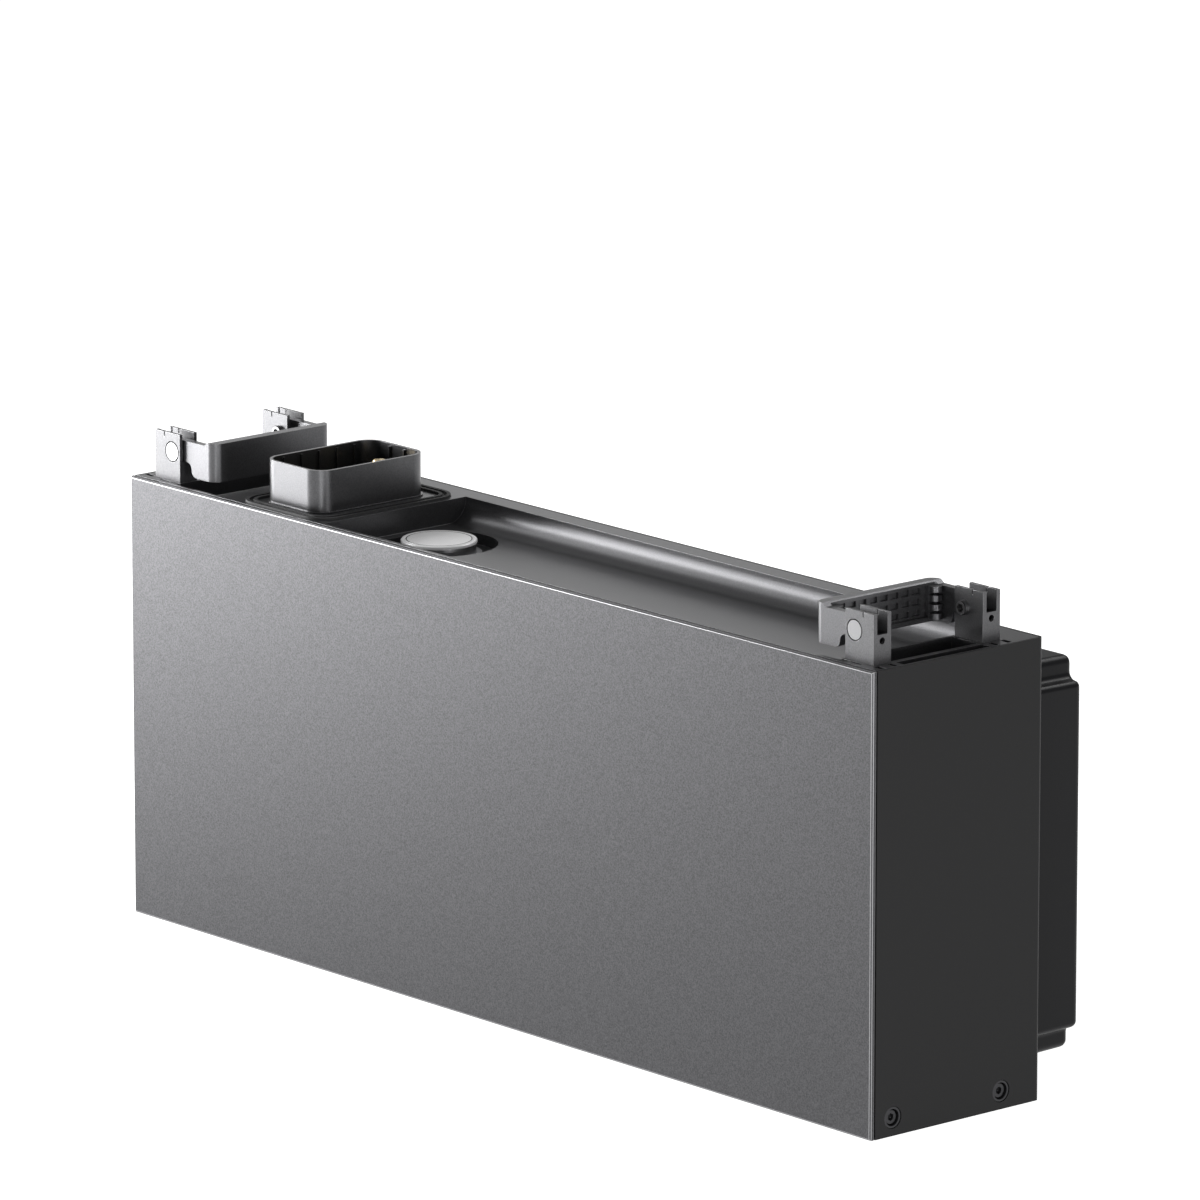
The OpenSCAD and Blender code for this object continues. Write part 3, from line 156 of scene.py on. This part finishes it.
def add_lamp(name, place, target, width, height, power):
    """A soft rectangular lamp that looks at a target."""
    data = bpy.data.lights.new(name, "AREA")
    data.shape = "RECTANGLE"
    data.size = width
    data.size_y = height
    data.energy = power
    lamp = bpy.data.objects.new(name, data)
    lamp.location = place
    lamp.rotation_euler = (Vector(target) - Vector(place)).to_track_quat("-Z", "Y").to_euler()
    bpy.context.scene.collection.objects.link(lamp)


def link(tree, source, target):
    tree.links.new(source, target)


def add_world():
    """An even pale grey room, which fills the shadows."""
    world = bpy.data.worlds.new("studio")
    bpy.context.scene.world = world
    world.use_nodes = True
    room = world.node_tree.nodes["Background"]
    room.inputs["Color"].default_value = (1.0, 1.0, 1.0, 1.0)
    room.inputs["Strength"].default_value = ROOM_LIGHT


def seen_rays(tree):
    """One for a ray from the camera, and for a mirrored or refracted one."""
    rays = tree.nodes.new("ShaderNodeLightPath")
    value = rays.outputs["Is Camera Ray"]
    for name in ("Is Glossy Ray", "Is Transmission Ray"):
        either = tree.nodes.new("ShaderNodeMath")
        either.operation = "MAXIMUM"
        link(tree, value, either.inputs[0])
        link(tree, rays.outputs[name], either.inputs[1])
        value = either.outputs["Value"]
    return value


def floor_finish():
    """Matt grey that glows white for the rays that see it, and keeps its shadows."""
    material = bpy.data.materials.new("pale_floor")
    material.use_nodes = True
    tree = material.node_tree
    tree.nodes.clear()
    out = tree.nodes.new("ShaderNodeOutputMaterial")
    matt = tree.nodes.new("ShaderNodeBsdfDiffuse")
    matt.inputs["Color"].default_value = (FLOOR_TONE, FLOOR_TONE, FLOOR_TONE, 1.0)
    glow = tree.nodes.new("ShaderNodeEmission")
    glow.inputs["Strength"].default_value = FLOOR_GLOW
    lit = tree.nodes.new("ShaderNodeAddShader")
    mix = tree.nodes.new("ShaderNodeMixShader")
    link(tree, matt.outputs["BSDF"], lit.inputs[0])
    link(tree, glow.outputs["Emission"], lit.inputs[1])
    link(tree, seen_rays(tree), mix.inputs["Fac"])
    link(tree, matt.outputs["BSDF"], mix.inputs[1])
    link(tree, lit.outputs["Shader"], mix.inputs[2])
    link(tree, mix.outputs["Shader"], out.inputs["Surface"])
    return material


def add_floor():
    """A pale sheet that shows as white and keeps a faint shadow."""
    bm = bmesh.new()
    bmesh.ops.create_grid(bm, x_segments=1, y_segments=1, size=FLOOR_REACH)
    mesh = bpy.data.meshes.new("floor")
    bm.to_mesh(mesh)
    bm.free()
    floor = bpy.data.objects.new("floor", mesh)
    bpy.context.scene.collection.objects.link(floor)
    floor.data.materials.append(floor_finish())


def start_finish(name, metallic):
    """A material, its node tree and its shader."""
    material = bpy.data.materials.new(name)
    material.use_nodes = True
    tree = material.node_tree
    shader = tree.nodes["Principled BSDF"]
    shader.inputs["Metallic"].default_value = metallic
    return material, tree, shader


def tones(tree, pattern, span, low_color, high_color):
    """A colour between two tones, as the pattern runs over its span."""
    ramp = tree.nodes.new("ShaderNodeValToRGB")
    low, high = ramp.color_ramp.elements
    low.position, high.position = span
    low.color = list(low_color) + [1.0]
    high.color = list(high_color) + [1.0]
    link(tree, pattern, ramp.inputs["Fac"])
    return ramp.outputs["Color"]


def vary_gloss(tree, shader, pattern, roughness, swing):
    """A roughness that swings with the pattern."""
    gloss = tree.nodes.new("ShaderNodeMapRange")
    gloss.inputs["To Min"].default_value = roughness - swing
    gloss.inputs["To Max"].default_value = roughness + swing
    link(tree, pattern, gloss.inputs["Value"])
    link(tree, gloss.outputs["Result"], shader.inputs["Roughness"])


def raise_relief(tree, shader, pattern, depth):
    """A relief of the pattern, its depth in millimetres."""
    bump = tree.nodes.new("ShaderNodeBump")
    bump.inputs["Strength"].default_value = 1.0
    bump.inputs["Distance"].default_value = depth * MM
    link(tree, pattern, bump.inputs["Height"])
    link(tree, bump.outputs["Normal"], shader.inputs["Normal"])


def finish(name, color, metallic=0.0, roughness=0.5, grain=0.0, grain_size=0.6, speckle=0.0,
           coat=0.0, specular=0.5):
    """A surface with a fine grain in its colour, gloss and relief.

    The grain's depth and size are in millimetres, and speckle is the share by which its tone
    falls and rises.
    """
    material, tree, shader = start_finish(name, metallic)
    shader.inputs["Specular IOR Level"].default_value = specular
    shader.inputs["Coat Weight"].default_value = coat
    place = tree.nodes.new("ShaderNodeTexCoord")
    fine = tree.nodes.new("ShaderNodeTexNoise")
    fine.inputs["Scale"].default_value = 1.0 / (grain_size * MM)
    fine.inputs["Detail"].default_value = 3.0
    fine.inputs["Roughness"].default_value = 0.6
    link(tree, place.outputs["Object"], fine.inputs["Vector"])
    darker = [c * (1.0 - speckle) for c in color]
    lighter = [min(1.0, c * (1.0 + speckle)) for c in color]
    link(tree, tones(tree, fine.outputs["Fac"], GRAIN_SPAN, darker, lighter), shader.inputs["Base Color"])
    vary_gloss(tree, shader, fine.outputs["Fac"], roughness, GRAIN_SWING)
    if grain:
        raise_relief(tree, shader, fine.outputs["Fac"], grain)
    return material


def brushed_disc(name, color, metallic, roughness, centre, ring_size, groove):
    """Metal brushed in circles round a centre, with a fine dark groove of a given radius."""
    material, tree, shader = start_finish(name, metallic)
    place = tree.nodes.new("ShaderNodeTexCoord")
    shift = tree.nodes.new("ShaderNodeMapping")
    shift.inputs["Location"].default_value = [-c for c in centre]
    reach = tree.nodes.new("ShaderNodeVectorMath")
    reach.operation = "LENGTH"
    rings = tree.nodes.new("ShaderNodeTexNoise")
    rings.noise_dimensions = "1D"
    rings.inputs["Scale"].default_value = 1.0 / (ring_size * MM)
    rings.inputs["Detail"].default_value = 2.0
    link(tree, place.outputs["Object"], shift.inputs["Vector"])
    link(tree, shift.outputs["Vector"], reach.inputs[0])
    link(tree, reach.outputs["Value"], rings.inputs["W"])
    near = tree.nodes.new("ShaderNodeMath")
    near.operation = "COMPARE"
    near.inputs[1].default_value = groove
    near.inputs[2].default_value = GROOVE_HALF * MM
    link(tree, reach.outputs["Value"], near.inputs[0])
    dark = tree.nodes.new("ShaderNodeMix")
    dark.data_type = "RGBA"
    dark.inputs["B"].default_value = GROOVE_COLOR
    shaded = [c * RING_SHADE for c in color]
    link(tree, near.outputs["Value"], dark.inputs["Factor"])
    link(tree, tones(tree, rings.outputs["Fac"], RING_SPAN, shaded, color), dark.inputs["A"])
    link(tree, dark.outputs["Result"], shader.inputs["Base Color"])
    vary_gloss(tree, shader, rings.outputs["Fac"], roughness, RING_SWING)
    raise_relief(tree, shader, rings.outputs["Fac"], RING_RELIEF)
    return material


def middle(node):
    low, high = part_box(node)
    return (low + high) / 2


def across(node):
    low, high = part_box(node)
    return high.x - low.x


def make_finishes():
    """The finish of each material slot of the record.

    After its colour each has its metallic, roughness, grain depth, grain size and speckle.
    """
    return {
        "front_panel": finish("blasted_aluminium", (0.079, 0.079, 0.0825), 1.0, 0.44, 0.05, 0.9, 0.30),
        "case_sheet": finish("powder_coat_dark", (0.0095, 0.0095, 0.010), 0.0, 0.46, 0.04, 0.8, 0.15,
                             specular=0.22),
        "deck": finish("grained_plastic_grey", (0.090, 0.090, 0.094), 0.8, 0.34, 0.03, 0.8, 0.15,
                       specular=0.3),
        "base": finish("grained_plastic_black", (0.030, 0.030, 0.032), 0.0, 0.55, 0.03, 0.6, 0.08),
        "rear_cover": finish("satin_plastic_black", (0.007, 0.007, 0.008), 0.0, 0.34, 0.02, 0.7, 0.10,
                             specular=0.15),
        "seal_rubber": finish("seal_rubber", (0.012, 0.012, 0.013), 0.0, 0.62, 0.02, 0.4, 0.1),
        "post_metal": finish("coated_post", (0.120, 0.120, 0.124), 0.9, 0.42, 0.04, 0.8, 0.16),
        "handle": finish("coated_handle", (0.125, 0.125, 0.130), 0.9, 0.36, 0.04, 0.8, 0.16),
        "bright_steel": finish("turned_steel", (0.24, 0.24, 0.245), 1.0, 0.40, 0.004, 0.3, 0.03),
        "dark_steel": finish("black_screw", (0.045, 0.045, 0.048), 0.8, 0.34, 0.01, 0.4, 0.08),
        "zinc_steel": finish("zinc_steel", (0.55, 0.56, 0.58), 1.0, 0.36, 0.01, 0.8, 0.10),
        "collar": finish("coated_collar", (0.105, 0.105, 0.109), 0.95, 0.32, 0.04, 0.8, 0.14),
        "insulator": finish("black_insulator", (0.016, 0.016, 0.017), 0.0, 0.5, 0.02, 0.6, 0.06),
        "contact_brass": finish("plated_contact", (0.78, 0.62, 0.34), 1.0, 0.26, 0.004, 0.5, 0.04),
        "copper": finish("bare_copper", (0.70, 0.37, 0.20), 1.0, 0.33, 0.01, 0.8, 0.08),
        "vent_body": finish("machined_vent", (0.52, 0.52, 0.535), 1.0, 0.34, 0.006, 0.4, 0.05),
        "vent_cap": brushed_disc("brushed_cap", (0.95, 0.95, 0.955), 0.15, 0.34, middle("vent_cap"),
                                 0.25, GROOVE_PLACE * across("vent_cap")),
        "cell_can": finish("cell_film", (0.045, 0.12, 0.33), 0.0, 0.30, 0.004, 3.0, 0.05, coat=0.2),
        "pad_foam": finish("foam_pad", (0.66, 0.63, 0.54), 0.0, 0.85, 0.10, 0.8, 0.08),
        "plate_aluminium": finish("mill_aluminium", (0.62, 0.63, 0.64), 1.0, 0.38, 0.01, 1.2, 0.06),
        "barrier_sheet": finish("barrier_sheet", (0.70, 0.67, 0.58), 0.0, 0.55, 0.01, 1.5, 0.04),
        "thermal_pad": finish("thermal_pad", (0.30, 0.38, 0.46), 0.0, 0.70, 0.03, 1.0, 0.05),
        "circuit_board": finish("solder_mask", (0.012, 0.10, 0.045), 0.0, 0.28, 0.004, 2.0, 0.12,
                                coat=0.3),
        "component_black": finish("moulded_case", (0.014, 0.014, 0.015), 0.0, 0.40, 0.01, 0.6, 0.08),
        "ceramic": finish("glazed_ceramic", (0.78, 0.75, 0.68), 0.0, 0.22, 0.003, 4.0, 0.03, coat=0.4),
        "winding": finish("enamelled_wire", (0.56, 0.24, 0.08), 0.7, 0.32, 0.06, 1.4, 0.18),
        "cable_red": finish("red_jacket", (0.42, 0.020, 0.016), 0.0, 0.45, 0.01, 1.0, 0.05),
        "cable_black": finish("black_jacket", (0.012, 0.012, 0.014), 0.0, 0.48, 0.01, 1.0, 0.05),
    }


def make_painted_edge_finishes():
    """Edges painted brighter than their faces as painted highlights, and the pins' edges painted dark as
    painted shade in their gap.
    """
    # Painted highlights: the edges get a brighter metal than their faces, so they read as lit edges
    panel_highlight = finish("painted_highlight_panel_edge", (0.34, 0.34, 0.35), 1.0, 0.32, 0.0, 0.8, 0.08)
    edge_highlight = finish("painted_highlight_edge", (0.26, 0.26, 0.268), 1.0, 0.30, 0.0, 1.4, 0.25)
    sheet_highlight = finish("painted_highlight_sheet_edge", (0.20, 0.20, 0.206), 1.0, 0.32, 0.0, 1.4, 0.15)
    # Painted shade: the pins' rounded edges are painted near black, as the shadow in the gap round each
    # pin head
    pin_shade = finish("painted_shade_pin_ring", (0.010, 0.010, 0.010), 0.0, 0.60, 0.0, 0.8, 0.10, specular=0.2)
    finishes = {"front_panel": panel_highlight, "case_body": sheet_highlight, "top_deck": sheet_highlight, "hinge_pins": pin_shade}
    for name in HIGHLIGHT_EDGE_PIECES:
        finishes[name] = edge_highlight
    return finishes


def dress(finishes):
    """Gives every solid the finish of its slot. The lock bushes take the black screws' finish, as painted
    shade for the dark recess round the lock screws.
    """
    for name, solid in nodes.items():
        # Painted shade: the lock bushes are painted dark, for the dark recess round the lock screws
        slot = "dark_steel" if name == "lock_bushes" else slot_of[name]
        solid.data.materials.clear()
        solid.data.materials.append(finishes[slot])


def rounded(node, width, painted_edge=None):
    """A copy of a solid with its sharp edges rounded, in millimetres, that stands for it.

    The rounded edges take their own painted highlight or painted shade where one is given.
    """
    source = nodes[node]
    bm = bmesh.new()
    bm.from_mesh(source.data)
    bmesh.ops.remove_doubles(bm, verts=bm.verts, dist=MERGE * MM)
    bmesh.ops.dissolve_limit(bm, angle_limit=FLAT, verts=bm.verts, edges=bm.edges)
    edges = [e for e in bm.edges if e.is_manifold and e.calc_face_angle() > SHARP]
    bmesh.ops.bevel(bm, geom=edges, offset=width * MM, offset_type="OFFSET", segments=2,
                    profile=0.5, affect="EDGES", clamp_overlap=True,
                    material=-1 if painted_edge is None else 1)
    mesh = bpy.data.meshes.new(node + "_rounded")
    bm.to_mesh(mesh)
    bm.free()
    if "custom_normal" in mesh.attributes:
        mesh.attributes.remove(mesh.attributes["custom_normal"])
    mesh.polygons.foreach_set("use_smooth", [True] * len(mesh.polygons))
    mesh.set_sharp_from_angle(angle=SHARP)
    for material in source.data.materials:
        mesh.materials.append(material)
    if painted_edge is not None:
        mesh.materials.append(painted_edge)
    piece = bpy.data.objects.new(node + "_rounded", mesh)
    bpy.context.scene.collection.objects.link(piece)
    even = piece.modifiers.new("even_shading", "WEIGHTED_NORMAL")
    even.keep_sharp = True
    even.weight = 100
    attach(piece, body_of[node])
    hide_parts(node)


add_camera()
add_world()
add_floor()
for name, (place, target, width, height, power) in LAMPS.items():
    add_lamp(name, place, target, width, height, power)
dress(make_finishes())
# Bright edges are painted highlights, and the pins' dark edges are painted shade
painted_edges = make_painted_edge_finishes()
for name, width in EDGES.items():
    rounded(name, width, painted_edges.get(name))

bpy.context.scene.view_settings.view_transform = "Standard"
